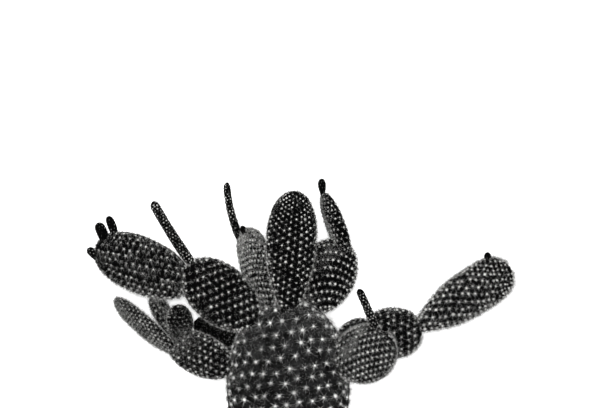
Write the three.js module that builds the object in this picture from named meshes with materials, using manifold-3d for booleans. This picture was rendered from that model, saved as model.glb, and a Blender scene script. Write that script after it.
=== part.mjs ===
// A branch of a bunny-ear prickly pear, cut at the narrow foot of its main pad and laid down on a surface.
// Every pad, finger and bud is one fleshy segment that grew from the pad below it through a narrow neck.
// Millimetres. +X runs to the branch's right, +Y from the cut foot towards the tips, +Z up from the surface.
import * as THREE from "three";
import { ConvexHull } from "three/addons/math/ConvexHull.js";
import { mergeVertices } from "three/addons/utils/BufferGeometryUtils.js";
import Module from "manifold-3d";

// Where the middle of the branch's box lies in the layout below, so that the origin is under that middle.
const ORIGIN_X = -3.71;
const ORIGIN_Y = -103.26;

const CLEARANCE = 0.4; // gap between a segment's neck and the pad that carries it
const SEAT_DEPTH = 2.2; // how far a neck runs into its parent before it is cut to the parent's skin
const TUFT_SPREAD = 1.27; // areoles stand this much further apart than the real ones, at their true size
const CROWDING = 0.8; // areoles draw together towards both ends, down to this share of their spacing
const ROW_SAG = 0.05; // rows of areoles hang back at the rims by this share of the length
const TUFT_LEAN = 0.25; // tufts lean towards the tip by this share of their height
const TUFT_ROOM = 1.0; // a tuft keeps this far from every other segment
const TUFT_FLOOR = 0.3; // a tuft whose point would be lower than this above the surface is pressed flat
const ROW_STEP = 0.87; // rows are this share of the spacing apart, as in a grid of even triangles
const TOP_ROW = 0.55; // the last row is this share of a row's step below the tip
const BARE_FOOT = 0.07; // this share of a segment, or BARE_LENGTH if that is more, has no tufts at its foot
const BARE_LENGTH = 2.5;
const LEAST_IN_ROW = 4; // areoles in the shortest row
const ROOT_SHARE = 0.3; // a tuft's root reaches at most this share of the way to the next areole
const SCAR_SIDES = 14; // corners of the ring at a segment's foot

// Each segment: the one it grows on, its foot and tip in mm, width and thickness in mm, its turn about its
// own axis in degrees (0 faces straight up), where it is widest as a share of its length, the width of its
// neck as a share of its own, its sideways bow in mm, and the spacing, height and root radius of its tufts
// in mm. blunt squares off the ends: 2, where it isn't given, is an egg's outline, and 12 a finger's.
const PADS = {
  main_pad: {
    foot: [-15, -226, 4.5], tip: [-12, -72, 22.1], width: 91.5, thick: 24, turn: 0, widest: 0.585, neck: 0.3,
    bow: 0, spacing: 8.4, tuft: [2.7, 1.3], shade: 0x33352f,
  },
  left_round_pad: {
    on: "main_pad", foot: [-42, -84, 24.5], tip: [-89.5, -46.5, 29.5], width: 43.5, thick: 14, turn: -8,
    widest: 0.52,
    neck: 0.2, bow: 0, spacing: 6.6, tuft: [2.1, 1.0], shade: 0x15170f,
  },
  far_left_pad: {
    on: "left_round_pad", foot: [-87, -63, 27.1], tip: [-157, -30.7, 31.1], width: 41, thick: 13, turn: 6,
    widest: 0.54, neck: 0.26, bow: 0, blunt: 2.3, spacing: 5, tuft: [2.1, 0.85], shade: 0x171912,
  },
  far_left_bud_low: {
    on: "far_left_pad", foot: [-155, -42, 30.1], tip: [-163.4, -33.2, 30.1], width: 6.4, thick: 5.8, turn: 0,
    widest: 0.6, neck: 0.6, bow: 0.3, blunt: 2.8, spacing: 2.7, tuft: [0.8, 0.34], shade: 0x10110d,
  },
  far_left_bud_mid: {
    on: "far_left_pad", foot: [-150.5, -28.5, 32.1], tip: [-155.6, -14, 33.1], width: 7.8, thick: 7, turn: 0,
    widest: 0.6, neck: 0.6, bow: 0.4, blunt: 2.6, spacing: 3, tuft: [0.8, 0.36], shade: 0x10110d,
  },
  far_left_bud_top: {
    on: "far_left_pad", foot: [-143, -23, 32.1], tip: [-148, -9.2, 32.1], width: 6.2, thick: 5.6, turn: 0,
    widest: 0.58, neck: 0.6, bow: 0.3, blunt: 2.8, spacing: 2.8, tuft: [0.8, 0.35], shade: 0x10110d,
  },
  left_finger: {
    on: "left_round_pad", foot: [-86.5, -44, 28.1], tip: [-114.6, 1.6, 33.1], width: 7, thick: 6.6, turn: 0,
    widest: 0.6, neck: 0.6, bow: -1, blunt: 12, spacing: 4.2, tuft: [1.1, 0.5], shade: 0x12140f,
  },
  shade_pad: {
    on: "main_pad", foot: [-54, -108, 11.5], tip: [-84, -88.5, 6.4], width: 21, thick: 9.5, turn: 0,
    widest: 0.55,
    neck: 0.3, bow: 0, spacing: 5, tuft: [1.7, 0.8], shade: 0x0f110c,
  },
  low_left_pad: {
    on: "main_pad", foot: [-58, -125, 18.5], tip: [-103, -101.5, 15], width: 30.5, thick: 12, turn: 5,
    widest: 0.52,
    neck: 0.2, bow: 0, spacing: 4.9, tuft: [1.8, 0.8], shade: 0x171912,
  },
  low_left_edge_pad: {
    on: "low_left_pad", foot: [-102.5, -112.8, 9.6], tip: [-143.6, -71.5, 9.7], width: 25, thick: 11,
    turn: 66,
    widest: 0.55, neck: 0.3, bow: -2.2, blunt: 2.6, spacing: 4.2, tuft: [1.7, 0.7], shade: 0x1c1e17,
  },
  low_left_back_pad: {
    on: "low_left_pad", foot: [-97.5, -103.5, 9.5], tip: [-115.5, -68.5, 9.8], width: 19, thick: 9.5,
    turn: -57,
    widest: 0.64, neck: 0.32, bow: 0, spacing: 4.3, tuft: [1.6, 0.7], shade: 0x12140f,
  },
  low_left_small_pad: {
    on: "low_left_pad", foot: [-95, -99, 22.8], tip: [-96, -75.5, 30], width: 19, thick: 8.5, turn: 0,
    widest: 0.55,
    neck: 0.35, bow: 0, spacing: 4, tuft: [1.5, 0.65], shade: 0x10110d,
  },
  side_pad: {
    on: "main_pad", foot: [-30.5, -75, 19.1], tip: [-44.2, -18.2, 17.2], width: 34.5, thick: 12,
    turn: 50, widest: 0.6,
    neck: 0.3, bow: 0, blunt: 2.8, spacing: 4.8, tuft: [1.8, 0.8], shade: 0x2a2c26,
  },
  top_left_finger: {
    on: "side_pad", foot: [-50.8, -25.5, 7.5], tip: [-59.6, 16, 17.1], width: 5.2, thick: 4.9, turn: 0,
    widest: 0.5,
    neck: 0.7, bow: -2.2, blunt: 12, spacing: 3.7, tuft: [0.9, 0.42], shade: 0x10110d,
  },
  side_pad_bud: {
    on: "side_pad", foot: [-46, -21.5, 17], tip: [-48.2, -16.4, 19.5], width: 4.2, thick: 4, turn: 0,
    widest: 0.6,
    neck: 0.6, bow: 0, spacing: 2.0, tuft: [0.6, 0.3], shade: 0x10110d,
  },
  tall_pad: {
    on: "main_pad", foot: [-12.7, -74.5, 26], tip: [-9.5, 9.3, 46], width: 38.4, thick: 13.5, turn: -18,
    widest: 0.62, neck: 0.34, bow: 0, blunt: 2.15, spacing: 5, tuft: [1.9, 0.85], shade: 0x10110d,
  },
  right_round_pad: {
    on: "main_pad", foot: [3.2, -75, 19.6], tip: [28.6, -28, 9.6], width: 42.5, thick: 12, turn: -6,
    widest: 0.52,
    neck: 0.24, bow: 0, spacing: 4.9, tuft: [1.8, 0.8], shade: 0x12140f,
  },
  upper_right_pad: {
    on: "right_round_pad", foot: [34, -32, 11.5], tip: [13.2, 8.2, 15.5], width: 25, thick: 11, turn: 68,
    widest: 0.45, neck: 0.34, bow: 0, blunt: 2.6, spacing: 4, tuft: [1.6, 0.65], shade: 0x171912,
  },
  upper_right_bud: {
    on: "upper_right_pad", foot: [11.7, 7.4, 15.5], tip: [11.6, 19.1, 16], width: 5.8, thick: 5.6, turn: 0,
    widest: 0.66, neck: 0.5, bow: 0, spacing: 2.7, tuft: [0.7, 0.32], shade: 0x0d0e0b,
  },
  right_front_pad: {
    on: "main_pad", foot: [27.5, -120.6, 23.5], tip: [66.6, -104.2, 31], width: 43, thick: 12.5,
    turn: 8, widest: 0.53,
    neck: 0.3, bow: 0, spacing: 4.4, tuft: [1.7, 0.75], shade: 0x171912,
  },
  right_finger: {
    on: "right_front_pad", foot: [50.9, -90.5, 28], tip: [39.4, -63.8, 30], width: 5.6, thick: 5.3, turn: 0,
    widest: 0.55, neck: 0.7, bow: 0.4, blunt: 9, spacing: 3.7, tuft: [0.9, 0.42], shade: 0x10110d,
  },
  right_front_bud: {
    on: "right_front_pad", foot: [58.5, -94.5, 29.5], tip: [60.8, -89.6, 30.5], width: 4.2, thick: 4,
    turn: 0,
    widest: 0.6, neck: 0.6, bow: 0, spacing: 2.0, tuft: [0.6, 0.3], shade: 0x10110d,
  },
  right_back_pad: {
    on: "main_pad", foot: [25.5, -108, 14.5], tip: [50.5, -91.5, 9.5], width: 24, thick: 9, turn: 0,
    widest: 0.55,
    neck: 0.34, bow: 0, spacing: 4.8, tuft: [1.7, 0.75], shade: 0x10110d,
  },
  right_far_round_pad: {
    on: "right_back_pad", foot: [45.5, -97, 10], tip: [86.8, -97, 8.6], width: 36.5, thick: 12, turn: 0,
    widest: 0.5, neck: 0.3, bow: 0, blunt: 2.5, spacing: 4.9, tuft: [1.8, 0.8], shade: 0x12140f,
  },
  far_right_pad: {
    on: "right_far_round_pad", foot: [85, -92.5, 9.2], tip: [153.6, -47.8, 3.9], width: 34, thick: 12.5,
    turn: 0,
    widest: 0.66, neck: 0.26, bow: 0, blunt: 3, spacing: 4.9, tuft: [1.8, 0.8], shade: 0x171912,
  },
  far_right_bud: {
    on: "far_right_pad", foot: [136.8, -41, 5.2], tip: [136.9, -36.4, 5.8], width: 4.9, thick: 4.6, turn: 0,
    widest: 0.6, neck: 0.6, bow: 0, spacing: 2.1, tuft: [0.7, 0.32], shade: 0x10110d,
  },
};

const RING_STEPS = 96; // steps used to measure round a segment's section
const SEAT_STEPS = 60; // steps in the search for the parent's skin
const EGG_FOOT = -0.985; // where the egg shape below is cut off for the ring at the foot
const TABLE_SIDE = 600;
const TABLE_THICK = 20;

// The axes of a segment: along it, across its face, and out of its face.
function orient(pad) {
  const foot = new THREE.Vector3(...pad.foot);
  const tip = new THREE.Vector3(...pad.tip);
  const along = tip.clone().sub(foot);
  pad.length = along.length();
  along.normalize();
  const level = new THREE.Vector3().crossVectors(along, new THREE.Vector3(0, 0, 1)).normalize();
  const turned = new THREE.Matrix4().makeRotationAxis(along, -THREE.MathUtils.degToRad(pad.turn));
  const across = level.applyMatrix4(turned);
  const out = new THREE.Vector3().crossVectors(across, along);
  pad.matrix = new THREE.Matrix4().makeBasis(across, along, out).setPosition(foot);
  pad.inverse = pad.matrix.clone().invert();
  pad.skew = Math.log(0.5) / Math.log(pad.widest);
}

// How wide the segment is at share s of its length, as a share of its full width.
function fullness(pad, s) {
  const side = Math.abs(2 * Math.pow(Math.max(s, 0), pad.skew) - 1);
  const neck = pad.neck * (1 - s);
  return Math.sqrt(Math.max(1 - Math.pow(side, pad.blunt ?? 2), 0) + neck * neck);
}

// A point on the skin, grown outwards by grow: s runs from foot to tip, angle goes round the section.
function skinPoint(pad, s, angle, grow = 0) {
  const full = fullness(pad, s);
  const x = (full * pad.width / 2 + grow) * Math.cos(angle) + pad.bow * 4 * s * (1 - s);
  const z = (full * pad.thick / 2 + grow) * Math.sin(angle);
  return new THREE.Vector3(x, s * (pad.length + grow), z);
}

// The same point on a plain egg shape, whose convex hull says which neighbours each point joins.
function eggPoint(pad, s, angle) {
  const side = Math.max(2 * Math.pow(Math.max(s, 0), pad.skew) - 1, EGG_FOOT);
  const full = Math.sqrt(Math.max(1 - side * side, 0));
  const x = full * pad.width / 2 * Math.cos(angle);
  const z = full * pad.thick / 2 * Math.sin(angle);
  return new THREE.Vector3(x, side * pad.length / 2, z);
}

// Below 1 inside a segment that is grown by grow, above 1 outside it; point is in the layout's axes.
function depthIn(pad, point, grow) {
  const p = point.clone().applyMatrix4(pad.inverse);
  const reach = p.y / (pad.length + grow);
  if (reach < -0.02 || reach > 1) {
    return Infinity;
  }
  const s = Math.max(reach, 0);
  const full = fullness(pad, s);
  const x = (p.x - pad.bow * 4 * s * (1 - s)) / (full * pad.width / 2 + grow);
  const z = p.z / (full * pad.thick / 2 + grow);
  return x * x + z * z;
}

// Moves a segment's foot straight towards the heart of its parent until it is SEAT_DEPTH under the skin.
function seat(pad) {
  const parent = PADS[pad.on];
  const foot = new THREE.Vector3(...pad.foot);
  const heart = foot.clone().applyMatrix4(parent.inverse);
  heart.set(heart.x * 0.5, THREE.MathUtils.clamp(heart.y, 0.1 * parent.length, 0.8 * parent.length), 0);
  heart.applyMatrix4(parent.matrix);
  for (let i = 0; i <= SEAT_STEPS; i++) {
    const tried = foot.clone().lerp(heart, i / SEAT_STEPS);
    if (depthIn(parent, tried, -SEAT_DEPTH) < 1) {
      pad.foot = tried.toArray();
      return;
    }
  }
}

// Angles that part the section at s into count equal lengths of skin, beginning shift of a length on.
function evenAngles(pad, s, count, shift) {
  const full = fullness(pad, s);
  const lengths = [0];
  for (let i = 0; i < RING_STEPS; i++) {
    const middle = (i + 0.5) * 2 * Math.PI / RING_STEPS;
    const dx = full * pad.width / 2 * Math.sin(middle);
    const dz = full * pad.thick / 2 * Math.cos(middle);
    lengths.push(lengths[i] + Math.hypot(dx, dz));
  }
  const angles = [];
  let step = 0;
  for (let j = 0; j < count; j++) {
    const wanted = (j + shift) / count * lengths[RING_STEPS];
    while (lengths[step + 1] < wanted) {
      step++;
    }
    const part = (wanted - lengths[step]) / (lengths[step + 1] - lengths[step]);
    angles.push((step + part) * 2 * Math.PI / RING_STEPS);
  }
  return { angles, around: lengths[RING_STEPS] * 2 * Math.PI / RING_STEPS };
}

// The areoles: rows across the segment, every second row shifted by half a step, and one at the very tip.
function areoles(pad) {
  const spacing = pad.spacing * TUFT_SPREAD;
  const step = spacing * ROW_STEP / pad.length;
  const first = Math.max(BARE_FOOT, BARE_LENGTH / pad.length);
  const rows = Math.floor((1 - TOP_ROW * step - first) / step);
  const middle = evenAngles(pad, pad.widest, 1, 0).around;
  const most = Math.round(middle / spacing);
  const found = [];
  for (let i = 0; i <= rows; i++) {
    const s = 1 - TOP_ROW * step - (rows - i) * step;
    const around = evenAngles(pad, s, 1, 0).around;
    const count = Math.max(Math.min(most, Math.round(around / (CROWDING * spacing))), LEAST_IN_ROW);
    for (const angle of evenAngles(pad, s, count, (i % 2) / 2).angles) {
      const back = ROW_SAG * Math.cos(angle) ** 2 * 4 * s * (1 - s);
      found.push({ s: s - back, angle, near: Math.min(spacing, around / count) });
    }
  }
  return found;
}

// The three root points of a tuft as [s, angle], set round its areole.
function rootPoints(pad, areole) {
  const radius = Math.min(pad.tuft[1], ROOT_SHARE * areole.near);
  const full = fullness(pad, areole.s);
  const dx = full * pad.width / 2 * Math.sin(areole.angle);
  const dz = full * pad.thick / 2 * Math.cos(areole.angle);
  const perAngle = Math.hypot(dx, dz);
  const points = [];
  for (let k = 0; k < 3; k++) {
    const turn = k * 2 * Math.PI / 3;
    const s = areole.s + radius * Math.sin(turn) / pad.length;
    points.push([Math.min(s, 0.9995), areole.angle + radius * Math.cos(turn) / perAngle]);
  }
  return points;
}

// The three root points of the tuft on the very tip.
function tipRoots(pad) {
  const wanted = Math.min(pad.tuft[1] / (pad.thick / 2), ROOT_SHARE);
  const s = 1 - wanted * wanted / (4 * pad.skew);
  return [0, 1, 2].map((k) => [s, k * 2 * Math.PI / 3]);
}

// The outward direction of the skin at [s, angle].
function skinNormal(pad, s, angle) {
  const e = 1e-3;
  const low = Math.min(s, 1 - 2 * e);
  const du = skinPoint(pad, low, angle + e).sub(skinPoint(pad, low, angle - e));
  const dv = skinPoint(pad, low + e, angle).sub(skinPoint(pad, low - e, angle));
  return new THREE.Vector3().crossVectors(dv, du).normalize();
}

// The point of a tuft, or null where it would reach into another segment or the surface below.
function tuftPoint(name, pad, centre, normal) {
  const lean = new THREE.Vector3(0, pad.tuft[0] * TUFT_LEAN, 0);
  const point = centre.clone().addScaledVector(normal, pad.tuft[0]).add(lean);
  const placed = point.clone().applyMatrix4(pad.matrix);
  const root = centre.clone().applyMatrix4(pad.matrix);
  const clear = Object.entries(PADS).every(([other, it]) => other === name
    || (depthIn(it, placed, TUFT_ROOM) > 1 && depthIn(it, root, TUFT_ROOM) > 1));
  return clear && placed.z > TUFT_FLOOR ? point : null;
}

// The closed mesh of one segment. With grow it is the plain skin moved outwards, without its tufts.
function segmentMesh(name, grow = 0) {
  const pad = PADS[name];
  const places = [];
  const tufts = [];
  const addTuft = (roots, centre, normal) => {
    const point = tuftPoint(name, pad, centre, normal);
    if (point) {
      tufts.push({ roots: roots.map((_, k) => places.length + k), point });
      places.push(...roots);
    }
    return point !== null;
  };
  for (const angle of evenAngles(pad, 0, SCAR_SIDES, 0).angles) {
    places.push([0, angle]);
  }
  for (const areole of areoles(pad)) {
    const centre = skinPoint(pad, areole.s, areole.angle);
    const normal = skinNormal(pad, areole.s, areole.angle);
    if (!addTuft(rootPoints(pad, areole), centre, normal)) {
      places.push([areole.s, areole.angle]);
    }
  }
  const end = new THREE.Vector3(0, pad.length, 0);
  if (!addTuft(tipRoots(pad), end, new THREE.Vector3(0, 1, 0))) {
    places.push([1, 0]);
  }
  const egg = places.map(([s, angle]) => eggPoint(pad, s, angle));
  const order = new Map(egg.map((point, i) => [point, i]));
  const points = places.map(([s, angle]) => skinPoint(pad, s, angle, grow));
  const owner = new Map();
  tufts.forEach((tuft) => tuft.roots.forEach((i) => owner.set(i, tuft)));
  const triangles = [];
  const raised = new Set();
  for (const face of new ConvexHull().setFromPoints(egg).faces) {
    const a = order.get(face.edge.tail().point);
    const b = order.get(face.edge.head().point);
    const c = order.get(face.edge.next.head().point);
    const tuft = owner.get(a);
    if (grow === 0 && tuft && tuft === owner.get(b) && tuft === owner.get(c)) {
      const top = points.push(tuft.point) - 1;
      triangles.push(a, b, top, b, c, top, c, a, top);
      raised.add(tuft);
    } else {
      triangles.push(a, b, c);
    }
  }
  const flat = points.flatMap((point) => point.applyMatrix4(pad.matrix).toArray());
  return { flat, triangles, tufts: raised.size };
}

const wasm = await Module();
wasm.setup();

function toSolid(flat, triangles) {
  const vertProperties = new Float32Array(flat);
  const triVerts = new Uint32Array(triangles);
  return new wasm.Manifold(new wasm.Mesh({ numProp: 3, vertProperties, triVerts }));
}

function solidOf(geometry) {
  geometry.deleteAttribute("normal");
  geometry.deleteAttribute("uv");
  const merged = mergeVertices(geometry);
  return toSolid(merged.attributes.position.array, merged.index.array);
}

function geometryOf(solid) {
  const mesh = solid.getMesh();
  const geometry = new THREE.BufferGeometry();
  geometry.setAttribute("position", new THREE.BufferAttribute(mesh.vertProperties, 3));
  geometry.setIndex(new THREE.BufferAttribute(mesh.triVerts, 1));
  return geometry;
}

// The surface that the branch lies on: what would sink below it is pressed flat.
const table = solidOf(
  new THREE.BoxGeometry(TABLE_SIDE, TABLE_SIDE, TABLE_THICK).translate(ORIGIN_X, ORIGIN_Y, -TABLE_THICK / 2),
);

function buildSegment(name) {
  const pad = PADS[name];
  const grown = segmentMesh(name);
  let solid = toSolid(grown.flat, grown.triangles).subtract(table);
  if (pad.on) {
    const parent = segmentMesh(pad.on, CLEARANCE);
    solid = solid.subtract(toSolid(parent.flat, parent.triangles));
  }
  const parts = solid.decompose();
  parts.sort((one, other) => other.volume() - one.volume());
  const material = new THREE.MeshStandardMaterial({ color: pad.shade, roughness: 0.75, metalness: 0 });
  const mesh = new THREE.Mesh(geometryOf(parts[0]), material);
  mesh.name = name;
  return mesh;
}

orient(PADS.main_pad);
for (const pad of Object.values(PADS)) {
  if (pad.on) {
    seat(pad);
    orient(pad);
  }
}

const group = new THREE.Group();
group.name = "prickly_pear_branch";
group.position.set(-ORIGIN_X, -ORIGIN_Y, 0);
for (const name of Object.keys(PADS)) {
  group.add(buildSegment(name));
}

export default group;
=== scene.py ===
# A branch of a bunny-ear prickly pear, laid down as it was cut and seen from straight above.
# +X is the branch's right, +Y runs from the cut foot to the tips, +Z is up from the surface it lies on.
import math

import bpy
import numpy as np
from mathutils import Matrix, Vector, noise
from mathutils.bvhtree import BVHTree
from mathutils.kdtree import KDTree


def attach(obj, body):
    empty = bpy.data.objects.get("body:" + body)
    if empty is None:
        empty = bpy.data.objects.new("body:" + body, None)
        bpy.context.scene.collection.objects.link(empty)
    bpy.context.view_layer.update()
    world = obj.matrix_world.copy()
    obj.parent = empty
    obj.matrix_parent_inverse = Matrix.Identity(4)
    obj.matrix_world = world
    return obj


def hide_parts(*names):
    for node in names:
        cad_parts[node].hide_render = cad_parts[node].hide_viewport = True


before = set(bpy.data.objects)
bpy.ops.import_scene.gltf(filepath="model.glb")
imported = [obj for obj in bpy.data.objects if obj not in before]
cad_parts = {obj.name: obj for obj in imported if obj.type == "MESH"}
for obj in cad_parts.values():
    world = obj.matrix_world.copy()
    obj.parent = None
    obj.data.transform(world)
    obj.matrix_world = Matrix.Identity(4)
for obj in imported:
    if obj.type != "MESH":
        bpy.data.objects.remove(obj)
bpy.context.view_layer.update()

# ---- Main pad -------------------------------------------------------------------------------------
# The oldest pad, which carries all the others: firm flesh under a waxy skin that has greyed with age.
# Its areoles are the widest apart, each a cushion of felt with a brush of barbed bristles and, round that,
# longer hairs that lie back on the skin. It was cut from the plant at its narrow foot, which has dried over.

MM = 0.001


def linear(colour):
    """An sRGB hex colour as the linear RGBA that a shader socket takes."""
    parts = [int(colour[i:i + 2], 16) / 255 for i in (1, 3, 5)]
    return (*(p / 12.92 if p <= 0.04045 else ((p + 0.055) / 1.055) ** 2.4 for p in parts), 1.0)


def add_node(tree, kind, settings, inputs):
    """Adds a node with its settings; an input is a value or another node's output to link."""
    node = tree.nodes.new(kind)
    for name, value in settings.items():
        setattr(node, name, value)
    for key, value in inputs.items():
        socket = node.inputs[key]
        if isinstance(value, bpy.types.NodeSocket):
            tree.links.new(value, socket)
        else:
            socket.default_value = value
    return node


def ramp(tree, fac, stops):
    """A colour ramp over fac, with (place, hex colour) stops."""
    node = add_node(tree, "ShaderNodeValToRGB", {}, {"Fac": fac})
    steps = node.color_ramp.elements
    while len(steps) < len(stops):
        steps.new(0.5)
    for step, (place, colour) in zip(steps, stops):
        step.position, step.color = place, linear(colour)
    return node.outputs["Color"]


def skin_material(name, dark, light, spot_mm, fleck_mm, nap, gloss, foot_shade=1.0, scar=None):
    """Waxy pad skin: dark between light mottles spot_mm across, with a fine velvet nap that scatters light,
    and duller by foot_shade towards the foot. A scar is the corky colour that a cut foot dries to."""
    material = bpy.data.materials.new(name)
    material.use_nodes = True
    tree = material.node_tree
    tree.nodes.clear()
    place = add_node(tree, "ShaderNodeTexCoord", {}, {}).outputs["Object"]
    mottle = add_node(tree, "ShaderNodeTexNoise", {}, {
        "Vector": place, "Scale": 1 / (spot_mm * MM), "Detail": 5.0, "Roughness": 0.65}).outputs["Fac"]
    skin = ramp(tree, mottle, [(0.36, dark), (0.68, light)])
    # the nap's flecks are a tenth of a millimetre; drawn fleck_mm across so that they show
    fleck = add_node(tree, "ShaderNodeTexNoise", {}, {
        "Vector": place, "Scale": 1 / (fleck_mm * MM), "Detail": 3.0, "Roughness": 0.7}).outputs["Fac"]
    colour = add_node(tree, "ShaderNodeMix", {"data_type": "RGBA", "blend_type": "OVERLAY"}, {
        "Factor": nap, 6: skin, 7: ramp(tree, fleck, [(0.38, "#101010"), (0.68, "#f0f0f0")])}).outputs[2]
    along = add_node(tree, "ShaderNodeAttribute", {"attribute_name": "along"}, {}).outputs["Fac"]
    shade = add_node(tree, "ShaderNodeMapRange", {"clamp": True}, {
        "Value": along, "From Min": 0.35, "From Max": 0.85, "To Min": foot_shade, "To Max": 1.0})
    colour = add_node(tree, "ShaderNodeMix", {"data_type": "RGBA", "blend_type": "MULTIPLY"}, {
        "Factor": 1.0, 6: colour, 7: shade.outputs["Result"]}).outputs[2]
    if scar:
        healed = add_node(tree, "ShaderNodeMapRange", {"clamp": True}, {
            "Value": along, "From Min": 0.002, "From Max": 0.03, "To Min": 1.0, "To Max": 0.0})
        colour = add_node(tree, "ShaderNodeMix", {"data_type": "RGBA"}, {
            "Factor": healed.outputs["Result"], 6: colour,
            7: ramp(tree, fleck, [(0.3, "#242422"), (0.6, scar)])}).outputs[2]
    # skin cells and pores, over shallow puckers
    pore_mm, pucker_mm = 0.6, 3
    pores = add_node(tree, "ShaderNodeTexVoronoi", {}, {
        "Vector": place, "Scale": 1 / (pore_mm * MM)}).outputs["Distance"]
    pucker = add_node(tree, "ShaderNodeTexNoise", {}, {
        "Vector": place, "Scale": 1 / (pucker_mm * MM), "Detail": 4.0}).outputs["Fac"]
    low = add_node(tree, "ShaderNodeBump", {}, {"Strength": 0.5, "Distance": 0.35 * MM, "Height": pucker})
    bump = add_node(tree, "ShaderNodeBump", {}, {
        "Strength": 0.5, "Distance": 0.08 * MM, "Height": pores, "Normal": low.outputs["Normal"]})
    rough = add_node(tree, "ShaderNodeMapRange", {"clamp": True}, {
        "Value": mottle, "From Min": 0.3, "From Max": 0.75, "To Min": gloss, "To Max": gloss + 0.15})
    shader = add_node(tree, "ShaderNodeBsdfPrincipled", {}, {
        "Base Color": colour, "Roughness": rough.outputs["Result"], "Normal": bump.outputs["Normal"],
        "IOR": 1.1, "Specular IOR Level": 0.5})
    add_node(tree, "ShaderNodeOutputMaterial", {}, {"Surface": shader.outputs["BSDF"]})
    material.diffuse_color = linear(light)
    return material


def bristle_material(name, felt, ends):
    """Dry areole felt and barbed bristles: woolly and light in the middle, duller towards the hairs' ends.
    The felt is the fibre's own colour; the duller ends and darker tips are painted shade, for hairs in
    shadow.
    """
    material = bpy.data.materials.new(name)
    material.use_nodes = True
    tree = material.node_tree
    tree.nodes.clear()
    reach = add_node(tree, "ShaderNodeAttribute", {"attribute_name": "reach"}, {}).outputs["Fac"]
    tone = add_node(tree, "ShaderNodeAttribute", {"attribute_name": "tone"}, {}).outputs["Fac"]
    # painted shade: the colour dulls from the felt to the ends and darkens at the tips, as for hairs past the
    # rims in shadow
    fibre = ramp(tree, reach, [(0.25, felt), (0.8, ends), (1.0, "#5c5c5a")])
    shade = add_node(tree, "ShaderNodeMapRange", {}, {"Value": tone, "To Min": 0.5, "To Max": 1.0})
    colour = add_node(tree, "ShaderNodeMix", {"data_type": "RGBA", "blend_type": "MULTIPLY"}, {
        "Factor": 1.0, 6: fibre, 7: shade.outputs["Result"]}).outputs[2]
    shader = add_node(tree, "ShaderNodeBsdfPrincipled", {}, {
        "Base Color": colour, "Roughness": 0.6, "IOR": 1.5, "Specular IOR Level": 0.2})
    add_node(tree, "ShaderNodeOutputMaterial", {}, {"Surface": shader.outputs["BSDF"]})
    material.diffuse_color = linear(felt)
    return material


def segment_shape(foot, tip, width, thick, widest, neck, turn=0.0, bow=0.0, blunt=2.0):
    """The form of one segment in mm: its foot and tip, its width and thickness, the share of its length where
    it is widest, its neck's share of the width, its turn about its axis in degrees, its sideways bow, and how
    blunt its outline is: 2 is an ellipse, and more is fuller at the ends."""
    foot, tip = np.array(foot, float), np.array(tip, float)
    length = np.linalg.norm(tip - foot)
    along = (tip - foot) / length
    level = np.cross(along, (0, 0, 1))
    level /= np.linalg.norm(level)
    angle = -math.radians(turn)
    across = level * math.cos(angle) + np.cross(along, level) * math.sin(angle)
    shape = {
        "foot": foot, "length": length, "width": width, "thick": thick,
        "neck": neck, "bow": bow, "blunt": blunt, "skew": math.log(0.5) / math.log(widest),
        "axes": np.array([across, along, np.cross(across, along)]),
    }
    # length of skin round the section, and along the rim from foot to tip, to space things evenly on both
    stops = 721
    round_steps = np.linspace(0, 2 * math.pi, stops)
    middle = (round_steps[1:] + round_steps[:-1]) / 2
    arc = np.hypot(width / 2 * np.sin(middle), thick / 2 * np.cos(middle)) * np.diff(round_steps)
    shape["round"] = round_steps, np.concatenate([[0], np.cumsum(arc)])
    s = (1 - np.cos(np.linspace(0, math.pi, stops))) / 2
    rim = np.hypot(np.diff(fullness(shape, s)) * width / 2, np.diff(s) * length)
    shape["rim"] = s, np.concatenate([[0], np.cumsum(rim)])
    return shape


def fullness(shape, s):
    """How wide the segment is at share s of its length, as a share of its full width."""
    side = np.abs(2 * np.clip(s, 0, 1) ** shape["skew"] - 1)
    return np.sqrt(np.maximum(1 - side ** shape["blunt"], 0) + (shape["neck"] * (1 - s)) ** 2)


def on_skin(shape, s, angle):
    """Points on the skin, s from foot to tip and angle round the section."""
    full = fullness(shape, s)
    x = full * shape["width"] / 2 * np.cos(angle) + shape["bow"] * 4 * s * (1 - s)
    z = full * shape["thick"] / 2 * np.sin(angle)
    local = np.stack(np.broadcast_arrays(x, s * shape["length"], z), -1)
    return shape["foot"] + local @ shape["axes"]


def out_of_skin(shape, s, angle):
    """The outward direction at those points, and the direction along the skin towards the tip."""
    step = 1e-3
    s = np.clip(s, step, 1 - 1.5 * step)
    round_it = on_skin(shape, s, angle + step) - on_skin(shape, s, angle - step)
    up_it = on_skin(shape, s + step, angle) - on_skin(shape, s - step, angle)
    out = np.cross(up_it, round_it)
    out /= np.linalg.norm(out, axis=-1, keepdims=True)
    up_it -= out * (up_it * out).sum(-1, keepdims=True)
    return out, up_it / np.linalg.norm(up_it, axis=-1, keepdims=True)


def even_round(shape, shares):
    """Angles at these shares of the length of skin round the section."""
    angle, length = shape["round"]
    return np.interp(np.mod(shares, 1) * length[-1], length, angle)


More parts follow.
